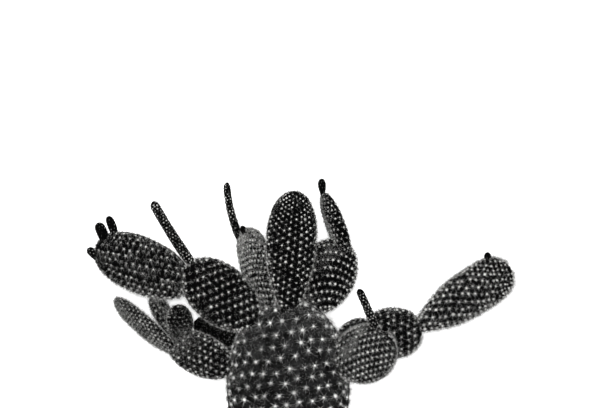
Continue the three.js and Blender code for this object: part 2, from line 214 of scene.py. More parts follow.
def areole_places(shape, pitch, row, heading=0.0, sag=0.0, crowd=1.0, uneven=0.0, seed=0):
    """Areoles as (s, angle, size), a net on each face and three close files down each rim. The rows are row
    mm apart, with pitch mm in the row and every second one shifted half a step, heading degrees from
    straight across, and their ends lie sag mm back at 10 mm from the middle. Areoles are closer at the
    rims, and at the tip by the share crowd. Each strays by about uneven mm."""
    rng = np.random.default_rng(seed)
    s_steps, rim = shape["rim"]
    steps = np.linspace(0, 1, 801)
    towards = np.clip((steps - 0.6) / 0.36, 0, 1)
    sizes = 1 - (1 - crowd) * towards ** 2 * (3 - 2 * towards)
    grown = np.concatenate([[0], np.cumsum(np.diff(steps) * shape["length"] / sizes[1:])])
    quarter = shape["round"][1][-1] / 4
    first = max(0.04, 1.6 / shape["length"])
    edge = 0.5 * min(pitch, row)
    # the net is laid out wider than a quarter of the way round, then drawn together towards the rims
    wide = 1.3 * quarter
    many = int(1.2 * max(grown[-1], 2 * wide / crowd) / min(pitch, row)) + 2
    j, i = np.mgrid[-many:many + 1, -many:many + 1].reshape(2, -1)
    turn = math.radians(heading)
    found = []
    for face in (0, 1):
        p = (i + (j % 2) / 2 + 0.3 * face) * pitch
        q = (j + 0.5 * face) * row - sag * (p / 10) ** 2
        p, q = p + rng.normal(0, uneven, p.shape), q + rng.normal(0, uneven, p.shape)
        s = np.interp(p * math.sin(turn) + q * math.cos(turn) + grown[-1] / 2, grown, steps, -1, 2)
        size = np.interp(s, steps, sizes)
        round_it = (p * math.cos(turn) - q * math.sin(turn)) * size / fullness(shape, s)
        inside = (s > first) & (s < 0.985)
        inside &= np.abs(round_it) < wide - (edge + 0.3 * pitch) * size / fullness(shape, s)
        closer = np.clip(1 - 2 * (wide - quarter) * np.abs(round_it) / wide ** 2, 0.3, 1)
        round_it *= 1 - (wide - quarter) * np.abs(round_it) / wide ** 2
        size = size * closer ** 0.4
        share = 0.25 - round_it / quarter / 4 if face == 0 else 0.75 + round_it / quarter / 4
        found.append(np.stack([s, even_round(shape, share), size], -1)[inside])
    walked = np.concatenate([[0], np.cumsum(np.diff(rim) / np.interp(s_steps[1:], steps, sizes))])
    for share in (0, 0.5):
        for side in (-1, 0, 1):
            start = (0.5 if side else 1.4) * edge
            s = np.arange(start, walked[-1] - 1.2 * edge, 1.8 * edge)
            s = np.interp(s + rng.normal(0, 0.12 * edge, len(s)), walked, s_steps)
            s = s[s > first]
            size = np.interp(s, steps, sizes)
            beside = (side * edge + rng.normal(0, 0.12 * edge, len(s))) * size
            beside = beside / fullness(shape, s) / quarter / 4
            found.append(np.stack([s, even_round(shape, share + beside), 0.9 * size], -1))
    found.append(np.array([[1.0, 0.0, crowd]]))
    return np.concatenate(found)


def mesh_piece(name, points, faces, smooth, floats):
    """A mesh object in metres from points in mm, with one float attribute for each entry of floats."""
    mesh = bpy.data.meshes.new(name)
    mesh.from_pydata((points * MM).tolist(), [], faces)
    mesh.shade_smooth() if smooth else mesh.shade_flat()
    for key, values in floats.items():
        mesh.attributes.new(key, "FLOAT", "POINT").data.foreach_set("value", np.asarray(values, np.float32))
    piece = bpy.data.objects.new(name, mesh)
    bpy.context.scene.collection.objects.link(piece)
    return piece


def neighbours_of(node):
    """The other segments' solids in one search tree, in metres, and the boxes they fill."""
    points, faces, boxes = [], [], []
    for other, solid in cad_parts.items():
        if other != node:
            own = np.array([v.co for v in solid.data.vertices])
            faces += [tuple(i + len(points) for i in p.vertices) for p in solid.data.polygons]
            points += own.tolist()
            boxes.append((own.min(0), own.max(0)))
    return BVHTree.FromPolygons(points, faces), boxes


def room_beside(neighbours, points):
    """How far each point, in mm, is from the nearest other segment: below 0 inside one, and 99 if none is
    near."""
    tree, boxes = neighbours
    metres = points * MM
    close = np.zeros(len(points), bool)
    margin, reach = 3 * MM, 6 * MM
    for low, high in boxes:
        close |= ((metres > low - margin) & (metres < high + margin)).all(1)
    rooms = np.full(len(points), 99.0)
    away = Vector((0.013, 0.021, 1.0)).normalized()
    for i in np.flatnonzero(close):
        point = Vector(metres[i])
        near, _, _, distance = tree.find_nearest(point, reach)
        if near is not None:
            # a ray that first meets a face from behind starts inside a solid
            _, normal, _, _ = tree.ray_cast(point, away)
            rooms[i] = (-distance if normal is not None and normal.dot(away) > 0 else distance) / MM
    return rooms


def grow_skin(node, shape, places, cell, swell, swell_width, material):
    """The skin as one closed mesh of cells about cell mm wide, raised by swell mm over swell_width mm at each
    areole, uneven as living flesh is, creased round the neck and pressed flat where it rests on the surface
    below."""
    s_steps, rim = shape["rim"]
    rows = max(round(rim[-1] / cell), 12)
    cols = max(round(shape["round"][1][-1] / cell), 12)
    s = np.interp(np.arange(rows) / rows * rim[-1], rim, s_steps)
    angle = even_round(shape, np.arange(cols) / cols)
    s, angle = np.meshgrid(s, angle, indexing="ij")
    out, _ = out_of_skin(shape, s.ravel(), angle.ravel())
    points = on_skin(shape, s.ravel(), angle.ravel())
    points = np.concatenate([points, on_skin(shape, np.ones(1), np.zeros(1))])
    out = np.concatenate([out, shape["axes"][1:2]])
    share = np.append(s.ravel(), 1.0)
    areoles = KDTree(len(places))
    for i, point in enumerate(on_skin(shape, places[:, 0], places[:, 1])):
        areoles.insert(Vector(point), i)
    areoles.balance()
    far = np.array([areoles.find(Vector(p))[2] for p in points])
    raised = swell * np.exp(-(far / swell_width) ** 2)
    # broad swellings, small dents, and creases round the neck
    wide_mm, fine_mm, crease_mm = 11, 3.2, 1.7
    uneven = np.array([
        noise.noise(Vector(p) / wide_mm) * 0.35 + noise.noise(Vector(p) / fine_mm) * 0.1 for p in points])
    creased = np.sin(share * shape["length"] * 2 * math.pi / crease_mm) * np.exp(-(share / 0.05) ** 2) * 0.12
    size = min(1.0, shape["thick"] / 10)
    points += out * (raised + (uneven + creased) * size)[:, None]
    points[:, 2] = np.maximum(points[:, 2], 0.0)
    cap = len(points)
    points = np.concatenate([points, points[:cols].mean(0, keepdims=True)])
    share = np.append(share, 0.0)
    at = np.arange(rows * cols).reshape(rows, cols)
    after = np.roll(at, -1, 1)
    faces = np.stack([at[:-1], after[:-1], after[1:], at[1:]], -1).reshape(-1, 4).tolist()
    faces += [(int(a), int(b), cap - 1) for a, b in zip(at[-1], after[-1])]
    faces += [(int(b), int(a), cap) for a, b in zip(at[0], after[0])]
    skin = mesh_piece(node + "_skin", points, faces, True, {"along": share})
    skin.data.materials.append(material)
    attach(skin, "root")
    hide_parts(node)


def closed_hairs(root, aim, long, width, beside, curl=None):
    """One closed three-sided hair for each root, long mm along aim: its points, the faces of one hair, and
    how far out each of its points is. With curl, the shift of its tip in mm, it has a bend on its way."""
    cross = np.cross(aim, beside)
    cross /= np.maximum(np.linalg.norm(cross, axis=-1, keepdims=True), 1e-6)
    other = np.cross(aim, cross)
    thirds = (0, 2.0944, 4.1888)
    three = [cross * math.cos(a) + other * math.sin(a) for a in thirds]
    stem, faces = [root + c * width / 2 for c in three], [(0, 2, 1)]
    if curl is None:
        faces += [(0, 1, 3), (1, 2, 3), (2, 0, 3)]
        return np.stack(stem + [root + aim * long], 1), faces, [0.0] * 3 + [0.7]
    middle = root + aim * long * 0.55 + curl * 0.2
    stem += [middle + c * width * 0.42 for c in three]
    for a, b in ((0, 1), (1, 2), (2, 0)):
        faces += [(a, b, b + 3), (a, b + 3, a + 3), (a + 3, b + 3, 6)]
    return np.stack(stem + [root + aim * long + curl], 1), faces, [0.45] * 3 + [0.8] * 3 + [1.0]


def grow_tufts(node, shape, places, felt, bristles, reach, thick, splay, hairs, hair_reach, material, seed,
               droop=(0.0, 0.0, 0.0)):
    """A tuft on every areole that has room: a low cushion of felt, felt mm in radius, that many straight
    bristles, thick mm across and up to reach mm long, that splay by up to splay degrees, and that many hairs,
    up to hair_reach mm long and bent by droop, a share of their length."""
    rng = np.random.default_rng(seed)
    centres = on_skin(shape, places[:, 0], places[:, 1])
    out, up = out_of_skin(shape, places[:, 0], places[:, 1])
    out[-1], up[-1] = shape["axes"][1], shape["axes"][0]
    near = neighbours_of(node)
    free = (room_beside(near, centres) > -0.4) & ((centres[:, 2] > 0.4) | (out[:, 2] > -0.2))
    centres, out, up = centres[free], out[free], up[free]
    side = np.cross(out, up)
    number = len(centres)
    centres = centres + (rng.normal(0, 0.05 * felt, (number, 2, 1)) * np.stack([up, side], 1)).sum(1)
    bulk = rng.normal(1, 0.17, number).clip(0.6, 1.4) * places[free, 2] ** 0.6
    tone = rng.random(number)
    points, faces, reached, tones = [], [], [], []

    def lay_down(block, pattern, how_far, tone_of):
        """block is (tuft or bristle, its points, 3); pattern holds one copy's faces."""
        start = sum(len(p) for p in points)
        count, each = block.shape[:2]
        points.append(block.reshape(-1, 3))
        for face in pattern:
            faces.extend((np.arange(count)[:, None] * each + start + np.array(face)).tolist())
        reached.append(np.tile(np.broadcast_to(how_far, each), count))
        tones.append(np.repeat(tone_of, each))

    # felt: a rounded cushion in rings, closed below the skin
    profile = [(1.0, -0.25), (0.97, 0.3), (0.62, 0.72)]
    sides = 8 if felt > 0.7 else 6
    turn = np.arange(sides) * 2 * math.pi / sides
    dome = [(r * math.cos(a), r * math.sin(a), h) for r, h in profile for a in turn]
    dome = np.array(dome + [(0, 0, 0.85), (0, 0, -0.3)]) * felt
    spread = dome[None] * (1 + rng.normal(0, 0.09, (number, len(dome), 1))) * bulk[:, None, None]
    block = centres[:, None] + spread[..., :1] * side[:, None] + spread[..., 1:2] * up[:, None]
    block = block + spread[..., 2:] * out[:, None]
    block[..., 2] = np.maximum(block[..., 2], 0.03)
    top, base = len(dome) - 2, len(dome) - 1
    pattern = []
    for k in range(sides):
        n = (k + 1) % sides
        for ring in range(2):
            a, b = ring * sides, (ring + 1) * sides
            pattern.append((a + k, b + k, a + n))
            pattern.append((a + n, b + k, b + n))
        pattern.append((2 * sides + k, top, 2 * sides + n))
        pattern.append((k, n, base))
    lay_down(block, pattern, 0.0, tone)

    def brush(each, low, high, low_splay, high_splay, width, bend=0.0):
        """each bristles to a tuft, low to high mm long, leaning low_splay to high_splay degrees; with bend
        they are fine hairs that droop and curl by about that share of their length."""
        lean = np.radians(low_splay + (high_splay - low_splay) * np.sqrt(rng.random((number, each, 1))))
        golden_angle = 2.39996
        ring = np.arange(each)[None] * golden_angle + rng.random((number, 1)) * 6.28
        ring = ring + rng.normal(0, 0.25, (number, each))
        flat = np.cos(ring)[..., None] * side[:, None] + np.sin(ring)[..., None] * up[:, None]
        aim = flat * np.sin(lean) + out[:, None] * np.cos(lean)
        long = (low + (high - low) * rng.random((number, each, 1))) * bulk[:, None, None]
        root = centres[:, None] + flat * np.sin(lean) * felt * 0.75 + out[:, None] * np.cos(lean) * felt * 0.3
        curl = None
        if bend:
            curl = ((np.array(droop) + rng.normal(0, 1, (number, each, 3)) * bend) * long).reshape(-1, 3)
        beside = np.broadcast_to(out[:, None] + 0.3 * up[:, None], aim.shape).reshape(-1, 3)
        block, faces_of, how_far = closed_hairs(
            root.reshape(-1, 3), aim.reshape(-1, 3), long.reshape(-1, 1), width, beside, curl)
        block[..., 2] = np.maximum(block[..., 2], 0.02)
        clear = room_beside(near, block[:, -1]) > 0
        clear &= rng.random(number * each) < np.repeat(places[free, 2] ** (3 if bend else 0.8), each)
        own = np.repeat(tone, each) * (0.4 + 0.6 * rng.random(number * each))
        lay_down(block[clear], faces_of, how_far, own[clear])

    brush(bristles, reach * 0.55, reach, 4, splay, thick)
    if hairs:
        brush(hairs, reach, hair_reach, 15, 80, thick, 0.12)
    tufts = mesh_piece(node + "_tufts", np.concatenate(points), faces, False,
                       {"reach": np.concatenate(reached), "tone": np.concatenate(tones)})
    tufts.data.materials.append(material)
    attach(tufts, "root")
    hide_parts(node)


def grow_nap(node, shape, number, long, width, material, seed, patches=(), fringe=0, outermost=3.4,
             spread=0.035):
    """The fine down on the skin between the tufts: number hairs up to long mm, lying at all angles, and more
    in patches, each (s, angle, radius in mm, number of hairs). The fringe is hairs up to outermost mm long
    that stand out in clumps from both rims, within the given spread of them as a share of the way round."""
    rng = np.random.default_rng(seed)
    s_steps, rim = shape["rim"]
    around = shape["round"][1][-1]
    s = np.interp(rng.random(3 * number) * rim[-1], rim, s_steps)
    s = s[rng.random(len(s)) < fullness(shape, s)][:number]
    angle = even_round(shape, rng.random(len(s)))
    for middle, towards, radius, more in patches:
        share = np.interp(towards % (2 * math.pi), *shape["round"]) / around
        s = np.append(s, rng.normal(middle, radius / shape["length"], more))
        share += rng.normal(0, radius / (around * fullness(shape, middle)), more)
        angle = np.append(angle, even_round(shape, share))
    standing = np.append(np.zeros(len(s), bool), np.ones(fringe, bool))
    clump_mm = 2.5
    clumps = round(rim[-1] / clump_mm)
    clump = rng.integers(0, clumps, fringe) + 0.5 + rng.normal(0, 0.2, fringe)
    s = np.append(s, np.interp(clump / clumps * rim[-1], rim, s_steps))
    share = rng.integers(0, 2, fringe) / 2 + rng.normal(0, spread, fringe)
    angle = np.append(angle, even_round(shape, share))
    inside = (s > 0.02) & (s < 0.998)
    s, angle, standing = s[inside], angle[inside], standing[inside][:, None]
    out, up = out_of_skin(shape, s, angle)
    ring = rng.random((len(s), 1)) * 2 * math.pi
    lean = np.radians(np.where(standing, 5, 35) + 50 * rng.random((len(s), 1)) ** 0.7)
    flat = np.cos(ring) * np.cross(out, up) + np.sin(ring) * up
    aim = flat * np.sin(lean) + out * np.cos(lean)
    reach = np.where(standing, outermost, long) * (0.5 + 0.5 * rng.random((len(s), 1)))
    curl = rng.normal(0, 0.14, (len(s), 3)) * reach
    block, faces_of, how_far = closed_hairs(
        on_skin(shape, s, angle) + out * 0.05, aim, reach, width, out + 0.3 * up, curl)
    block = block[room_beside(neighbours_of(node), block[:, -1]) > 0]
    block[..., 2] = np.maximum(block[..., 2], 0.02)
    each = block.shape[1]
    faces = [np.arange(len(block))[:, None] * each + np.array(face) for face in faces_of]
    nap = mesh_piece(node + "_nap", block.reshape(-1, 3), np.concatenate(faces).tolist(), False, {
        "reach": np.tile(how_far, len(block)), "tone": np.repeat(rng.random(len(block)), each)})
    nap.data.materials.append(material)
    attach(nap, "root")
    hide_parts(node)


old_skin = skin_material("aged waxy cactus skin", "#0e0e0e", "#393939", spot_mm=7, fleck_mm=1.2, nap=0.85,
                         gloss=0.8, foot_shade=0.3, scar="#787874")
old_bristles = bristle_material("weathered areole felt and bristles", "#fbfbf9", "#c4c4c2")
old_down = bristle_material("weathered fine down", "#b4b4b2", "#8a8a88")
main_pad = segment_shape((-11.29, -122.74, 4.5), (-8.29, 31.26, 22.1), width=91.5, thick=24, widest=0.585,
                         neck=0.3)
places = areole_places(main_pad, pitch=10.6, row=8.9, heading=10, uneven=0.8, seed=1)
grow_skin("main_pad", main_pad, places, cell=1.1, swell=0.45, swell_width=2.6, material=old_skin)
grow_tufts("main_pad", main_pad, places, felt=1.05, bristles=36, reach=2.2, thick=0.2, splay=68, hairs=26,
           hair_reach=5.4, material=old_bristles, seed=11)
# the down is thickest beside the feet of the pads that it carries
main_down = ((0.9, 0.45, 9, 500), (0.81, 3.0, 5, 400), (0.74, 0.33, 5, 300), (0.97, 3.0, 5, 300),
             (0.99, 0.75, 6, 500), (0.63, 2.81, 6, 300))
grow_nap("main_pad", main_pad, number=3200, long=2.8, width=0.17, material=old_down, seed=111,
         patches=main_down, fringe=500, outermost=4.0)

# ---- Left round pad, its long pad, its finger ------------------------------------------------------
# A broad pad of last season on the main pad's left shoulder. The skin is nearly black, the areoles stand in
# slanting lines. On its rim grew a long oval pad with three new buds at its end, and one slim finger.


def areole_rings(shape, pitch, row, heading=0.0, sag=0.0, crowd=1.0, uneven=0.0, seed=0):
    """Areoles as (s, angle, size) in rings right round a segment, for one that stands on edge: rings row mm
    apart and closer towards the tip by the share crowd, pitch mm in the ring, heading degrees from straight
    across and sagging by sag mm at 10 mm from the middle. Each strays by about uneven mm."""
    rng = np.random.default_rng(seed)
    length, around = shape["length"], shape["round"][1][-1]
    level = np.cross(shape["axes"][1], (0, 0, 1))
    level /= np.linalg.norm(level)
    first = max(0.04, 1.6 / length)
    found, s, j = [], first + 0.4 * row / length, 0
    while s < 1 - 0.3 * crowd * row / length:
        size = 1 - (1 - crowd) * min(max((s - 0.4) / 0.5, 0), 1)
        count = max(round(around * fullness(shape, s) / (pitch * size)), 4)
        share = (np.arange(count) + (j % 2) / 2 + rng.normal(0, uneven / pitch, count)) / count
        angle = even_round(shape, share)
        beside = (on_skin(shape, s, angle) - shape["foot"] - shape["axes"][1] * s * length) @ level
        shift = beside * math.tan(math.radians(heading)) - sag * (beside / 10) ** 2
        shift = shift + rng.normal(0, uneven, count)
        places = s + shift / length
        inside = (places > first) & (places < 0.99)
        found.append(np.stack([places, angle, np.full(count, size)], -1)[inside])
        s, j = s + row * size / length, j + 1
    return np.concatenate(found + [np.array([[1.0, 0.0, crowd]])])


pad_skin = skin_material("dark waxy cactus skin", "#010101", "#060606", spot_mm=4, fleck_mm=0.9, nap=0.5,
                         gloss=0.8)
young_skin = skin_material("new cactus skin", "#010101", "#050505", spot_mm=2.5, fleck_mm=0.7, nap=0.4,
                           gloss=0.75)
pad_bristles = bristle_material("areole felt and bristles", "#e6e6e3", "#a8a8a6")
# the buds' own duller bristles, also put on the shade pad as painted shade
young_and_shaded_bristles = bristle_material("short young bristles, also as painted shade", "#c4c4c1", "#868684")
down = bristle_material("fine down of the skin", "#c4c4c1", "#90908e")

left_round_pad = segment_shape((-33.93, 13.71, 22.72), (-85.79, 56.76, 29.5), width=43.5, thick=14,
                               widest=0.52, neck=0.2, turn=-8)
places = areole_places(left_round_pad, pitch=5.2, row=5.9, heading=-27, uneven=0.22, seed=2)
grow_skin("left_round_pad", left_round_pad, places, cell=0.8, swell=0.5, swell_width=2.0, material=pad_skin)
grow_tufts("left_round_pad", left_round_pad, places, felt=0.8, bristles=17, reach=1.8, thick=0.19, splay=54,
           hairs=12, hair_reach=3.4, material=pad_bristles, seed=12)
grow_nap("left_round_pad", left_round_pad, number=600, long=1.6, width=0.17, material=down, seed=112,
         fringe=1100)

far_left_pad = segment_shape((-82.46, 40.94, 27.43), (-153.29, 72.56, 31.1), width=41, thick=13, widest=0.54,
                             neck=0.26, turn=6, blunt=2.3)
places = areole_places(far_left_pad, pitch=4.9, row=5.7, heading=103, crowd=0.75, uneven=0.5, seed=3)
grow_skin("far_left_pad", far_left_pad, places, cell=0.8, swell=0.45, swell_width=1.5, material=pad_skin)
grow_tufts("far_left_pad", far_left_pad, places, felt=0.7, bristles=16, reach=1.8, thick=0.19, splay=56,
           hairs=14, hair_reach=3.8, material=pad_bristles, seed=13, droop=(0.05, -0.8, -0.1))
grow_nap("far_left_pad", far_left_pad, number=700, long=1.8, width=0.17, material=down, seed=113, fringe=900)

left_finger = segment_shape((-80.06, 56.23, 28.03), (-110.89, 104.86, 33.1), width=7, thick=6.6, widest=0.6,
                            neck=0.6, bow=-1, blunt=12)
places = areole_rings(left_finger, pitch=2.4, row=2.2, uneven=0.2, seed=4)
grow_skin("left_finger", left_finger, places, cell=0.5, swell=0.3, swell_width=0.9, material=young_skin)
grow_tufts("left_finger", left_finger, places, felt=0.45, bristles=8, reach=0.9, thick=0.16, splay=60,
           hairs=2, hair_reach=1.4, material=pad_bristles, seed=14)
grow_nap("left_finger", left_finger, number=60, long=1.0, width=0.13, material=down, seed=114, fringe=220,
         outermost=2.0, spread=0.3)

for node, foot, tip, width, thick, widest, bow, blunt in (
    ("far_left_bud_low", (-150.27, 61.33, 30.08), (-159.69, 70.06, 30.1), 6.4, 5.8, 0.6, 0.3, 2.8),
    ("far_left_bud_mid", (-146.07, 74.23, 31.98), (-151.89, 89.26, 33.1), 7.8, 7, 0.6, 0.4, 2.6),
    ("far_left_bud_top", (-138.87, 79.03, 31.94), (-144.29, 94.06, 32.1), 6.2, 5.6, 0.58, 0.3, 2.8),
):
    bud = segment_shape(foot, tip, width, thick, widest, neck=0.6, bow=bow, blunt=blunt)
    places = areole_places(bud, pitch=2.6, row=2.4, crowd=0.8)
    grow_skin(node, bud, places, cell=0.4, swell=0.28, swell_width=0.65, material=young_skin)
    grow_tufts(node, bud, places, felt=0.34, bristles=6, reach=0.55, thick=0.14, splay=60, hairs=0,
               hair_reach=0, material=young_and_shaded_bristles, seed=15)

# ---- Pads low on the left rim -----------------------------------------------------------------------
# A round pad on the main pad's left rim carries three more: one seen nearly edge-on and pale with bristles,
# one behind it and a small one. Another pad stands in the shade behind the left round pad.

edge_bristles = bristle_material("dense pale bristles", "#d8d8d5", "#a8a8a5")

low_left_pad = segment_shape((-51.29, -21.76, 18.16), (-99.29, 1.76, 15), width=30.5, thick=12, widest=0.52,
                             neck=0.2, turn=5)
places = areole_places(low_left_pad, pitch=4.6, row=5.0, heading=90, uneven=0.35, seed=5)
grow_skin("low_left_pad", low_left_pad, places, cell=0.8, swell=0.45, swell_width=1.4, material=pad_skin)
grow_tufts("low_left_pad", low_left_pad, places, felt=0.7, bristles=17, reach=1.7, thick=0.19, splay=56,
           hairs=13, hair_reach=3.0, material=pad_bristles, seed=21)
grow_nap("low_left_pad", low_left_pad, number=800, long=1.7, width=0.17, material=down, seed=121,
         patches=((0.85, 1.0, 7, 1400),), fringe=500, outermost=3.0)

shade_pad = segment_shape((-43.41, -5.11, 13.6), (-80.29, 14.76, 6.4), width=21, thick=9.5, widest=0.55,
                          neck=0.3)
places = areole_places(shade_pad, pitch=4.8, row=4.6)
grow_skin("shade_pad", shade_pad, places, cell=0.8, swell=0.4, swell_width=1.4, material=young_skin)
# the shade pad's tufts and down take the dimmer young bristles: painted shade, for a pad that lies in shade
grow_tufts("shade_pad", shade_pad, places, felt=0.3, bristles=7, reach=1.2, thick=0.18, splay=56, hairs=2,
           hair_reach=2.2, material=young_and_shaded_bristles, seed=22)
grow_nap("shade_pad", shade_pad, number=700, long=1.4, width=0.15, material=young_and_shaded_bristles, seed=122)

low_left_edge_pad = segment_shape((-93.65, -8.09, 13.79), (-139.89, 31.76, 9.7), width=25, thick=11,
                                  widest=0.55, neck=0.3, turn=66, bow=-2.2, blunt=2.6)
places = areole_rings(low_left_edge_pad, pitch=3.1, row=3.2, crowd=0.8, uneven=0.25, seed=6)
grow_skin("low_left_edge_pad", low_left_edge_pad, places, cell=0.8, swell=0.35, swell_width=1.2,
          material=pad_skin)
grow_tufts("low_left_edge_pad", low_left_edge_pad, places, felt=0.55, bristles=12, reach=1.6, thick=0.18,
           splay=52, hairs=6, hair_reach=3.8, material=edge_bristles, seed=23)
grow_nap("low_left_edge_pad", low_left_edge_pad, number=500, long=1.6, width=0.17, material=down, seed=123,
         patches=((0.9, 0.65, 6, 500),), fringe=900, outermost=3.8, spread=0.3)

low_left_back_pad = segment_shape((-91.04, -2.01, 13.59), (-111.79, 34.76, 9.8), width=19, thick=9.5,
                                  widest=0.64, neck=0.32, turn=-57)
places = areole_rings(low_left_back_pad, pitch=3.6, row=3.4, uneven=0.4, seed=7)
grow_skin("low_left_back_pad", low_left_back_pad, places, cell=0.8, swell=0.35, swell_width=1.2,
          material=young_skin)
grow_tufts("low_left_back_pad", low_left_back_pad, places, felt=0.5, bristles=11, reach=1.6, thick=0.19,
           splay=56, hairs=13, hair_reach=3.0, material=edge_bristles, seed=24)
grow_nap("low_left_back_pad", low_left_back_pad, number=1200, long=1.7, width=0.17, material=down, seed=124,
         fringe=400, outermost=3.4, spread=0.3)

low_left_small_pad = segment_shape((-89.1, 1.08, 17.75), (-92.29, 27.76, 30), width=19, thick=8.5,
                                   widest=0.55, neck=0.35)
places = areole_places(low_left_small_pad, pitch=3.6, row=3.4, uneven=0.35, seed=8)
grow_skin("low_left_small_pad", low_left_small_pad, places, cell=0.7, swell=0.35, swell_width=1.1,
          material=young_skin)
grow_tufts("low_left_small_pad", low_left_small_pad, places, felt=0.45, bristles=9, reach=1.4, thick=0.18,
           splay=54, hairs=6, hair_reach=2.4, material=young_and_shaded_bristles, seed=25)
grow_nap("low_left_small_pad", low_left_small_pad, number=200, long=1.4, width=0.17, material=down, seed=125,
         patches=((0.15, 1.57, 5, 500),), fringe=250, outermost=2.6)

# ---- Side pad, its finger and bud ---------------------------------------------------------------------
# A pad on the main pad's top that is turned nearly edge-on. Its areoles crowd into close rows, and their
# bristles make it the palest pad of all. A slim bowed finger and one round bud stand on its tip.

side_bristles = bristle_material("close rows of pale bristles", "#e2e2df", "#bcbcb9")

side_pad = segment_shape((-24.76, 21.82, 18.98), (-40.49, 85.06, 17.2), width=34.5, thick=12, widest=0.6,
                         neck=0.3, turn=50, blunt=2.8)
places = areole_rings(side_pad, pitch=3.35, row=4.5, heading=-8, sag=2.5, crowd=0.79, uneven=0.3, seed=9)
grow_skin("side_pad", side_pad, places, cell=0.8, swell=0.35, swell_width=1.2, material=pad_skin)
grow_tufts("side_pad", side_pad, places, felt=0.7, bristles=15, reach=1.9, thick=0.19, splay=60, hairs=8,
           hair_reach=3.8, material=side_bristles, seed=31)
tip_down = (0.94, 1.75, 5, 700), (0.77, 1.9, 6, 700), (0.93, 0.3, 4, 420), (0.8, 0.5, 4, 260)
grow_nap("side_pad", side_pad, number=260, long=1.8, width=0.15, material=side_bristles, seed=131,
         patches=tip_down, fringe=1000, outermost=3.6, spread=0.3)

top_left_finger = segment_shape((-44.97, 75.39, 9.39), (-55.89, 119.26, 17.1), width=5.2, thick=4.9,
                                widest=0.5, neck=0.7, bow=-2.2, blunt=12)
places = areole_rings(top_left_finger, pitch=2.4, row=2.2, uneven=0.2, seed=10)
grow_skin("top_left_finger", top_left_finger, places, cell=0.45, swell=0.3, swell_width=0.85,
          material=young_skin)
grow_tufts("top_left_finger", top_left_finger, places, felt=0.4, bristles=7, reach=0.8, thick=0.16, splay=60,
           hairs=2, hair_reach=1.3, material=pad_bristles, seed=32)
grow_nap("top_left_finger", top_left_finger, number=40, long=0.9, width=0.13, material=down, seed=132,
         fringe=160, outermost=1.9, spread=0.3)

side_pad_bud = segment_shape((-41.12, 79.22, 16.96), (-44.49, 86.86, 19.5), width=4.2, thick=4, widest=0.6,
                             neck=0.6)
places = areole_places(side_pad_bud, pitch=2.2, row=2.0)
grow_skin("side_pad_bud", side_pad_bud, places, cell=0.35, swell=0.22, swell_width=0.6, material=young_skin)
grow_tufts("side_pad_bud", side_pad_bud, places, felt=0.22, bristles=5, reach=0.45, thick=0.14, splay=62,
           hairs=0, hair_reach=0, material=young_and_shaded_bristles, seed=33)

# ---- Tall pad ---------------------------------------------------------------------------------------
# The tallest of the new pads, an even oval on the main pad's top. Its dark skin carries the neatest tufts of
# all: small white brushes in files that run from foot to tip, and close together there.

neat_bristles = bristle_material("neat white bristles", "#e2e2df", "#9a9a97")

tall_pad = segment_shape((-9.04, 22.16, 24.27), (-5.79, 112.56, 46), width=38.4, thick=13.5, widest=0.62,
                         neck=0.34, turn=-18, blunt=2.15)
places = areole_places(tall_pad, pitch=5.3, row=5.1, heading=86, crowd=0.56, uneven=0.3, seed=11)
grow_skin("tall_pad", tall_pad, places, cell=0.8, swell=0.5, swell_width=1.5, material=pad_skin)
grow_tufts("tall_pad", tall_pad, places, felt=0.85, bristles=17, reach=1.7, thick=0.18, splay=50, hairs=9,
           hair_reach=2.9, material=neat_bristles, seed=41)
grow_nap("tall_pad", tall_pad, number=400, long=1.3, width=0.17, material=down, seed=141, fringe=1200)

# ---- Right round pad, and the pad and bud on it -------------------------------------------------------
# A round pad low on the main pad's right shoulder, its areoles in bowed rows. The pad on its rim is seen
# nearly edge-on, with a fringe of bristles down its left edge and one bud at its tip.

right_round_pad = segment_shape((5.41, 23.14, 19.41), (32.31, 75.26, 9.6), width=42.5, thick=12, widest=0.52,
                                neck=0.24, turn=-6)
places = areole_places(right_round_pad, pitch=4.2, row=6.0, heading=27, sag=1.7, uneven=0.12, seed=12)
grow_skin("right_round_pad", right_round_pad, places, cell=0.8, swell=0.45, swell_width=1.5,
          material=pad_skin)
grow_tufts("right_round_pad", right_round_pad, places, felt=0.85, bristles=20, reach=1.8, thick=0.19,
           splay=54, hairs=10, hair_reach=3.0, material=pad_bristles, seed=51)
left_down = (0.81, 1.99, 4, 400), (0.59, 2.11, 4, 400), (0.11, 1.9, 4, 300)
grow_nap("right_round_pad", right_round_pad, number=400, long=1.6, width=0.13, material=down, seed=151,
         patches=left_down, fringe=600)

upper_right_pad = segment_shape((33.33, 66.89, 11.35), (16.91, 111.46, 15.5), width=25, thick=11, widest=0.45,
                                neck=0.34, turn=68, blunt=2.6)
places = areole_rings(upper_right_pad, pitch=4.2, row=4.0, crowd=0.7, uneven=0.3, seed=13)
grow_skin("upper_right_pad", upper_right_pad, places, cell=0.8, swell=0.4, swell_width=1.2, material=pad_skin)
grow_tufts("upper_right_pad", upper_right_pad, places, felt=0.65, bristles=12, reach=1.5, thick=0.18,
           splay=54, hairs=3, hair_reach=3.0, material=pad_bristles, seed=52)
# ten patches of pale down, one after the other from foot to tip
left_edge = [(0.2 + 0.085 * k, 1.5 + 0.02 * k, 2.0, 52) for k in range(10)]
grow_nap("upper_right_pad", upper_right_pad, number=100, long=2.6, width=0.16, material=edge_bristles,
         seed=152, patches=left_edge, fringe=420, outermost=3.4, spread=0.3)

upper_right_bud = segment_shape((16.42, 108.9, 15.26), (15.31, 122.36, 16), width=5.8, thick=5.6, widest=0.66,
                                neck=0.5)
places = areole_places(upper_right_bud, pitch=2.4, row=2.2)
grow_skin("upper_right_bud", upper_right_bud, places, cell=0.4, swell=0.26, swell_width=0.6,
          material=young_skin)
grow_tufts("upper_right_bud", upper_right_bud, places, felt=0.24, bristles=5, reach=0.45, thick=0.14,
           splay=62, hairs=0, hair_reach=0, material=young_and_shaded_bristles, seed=53)

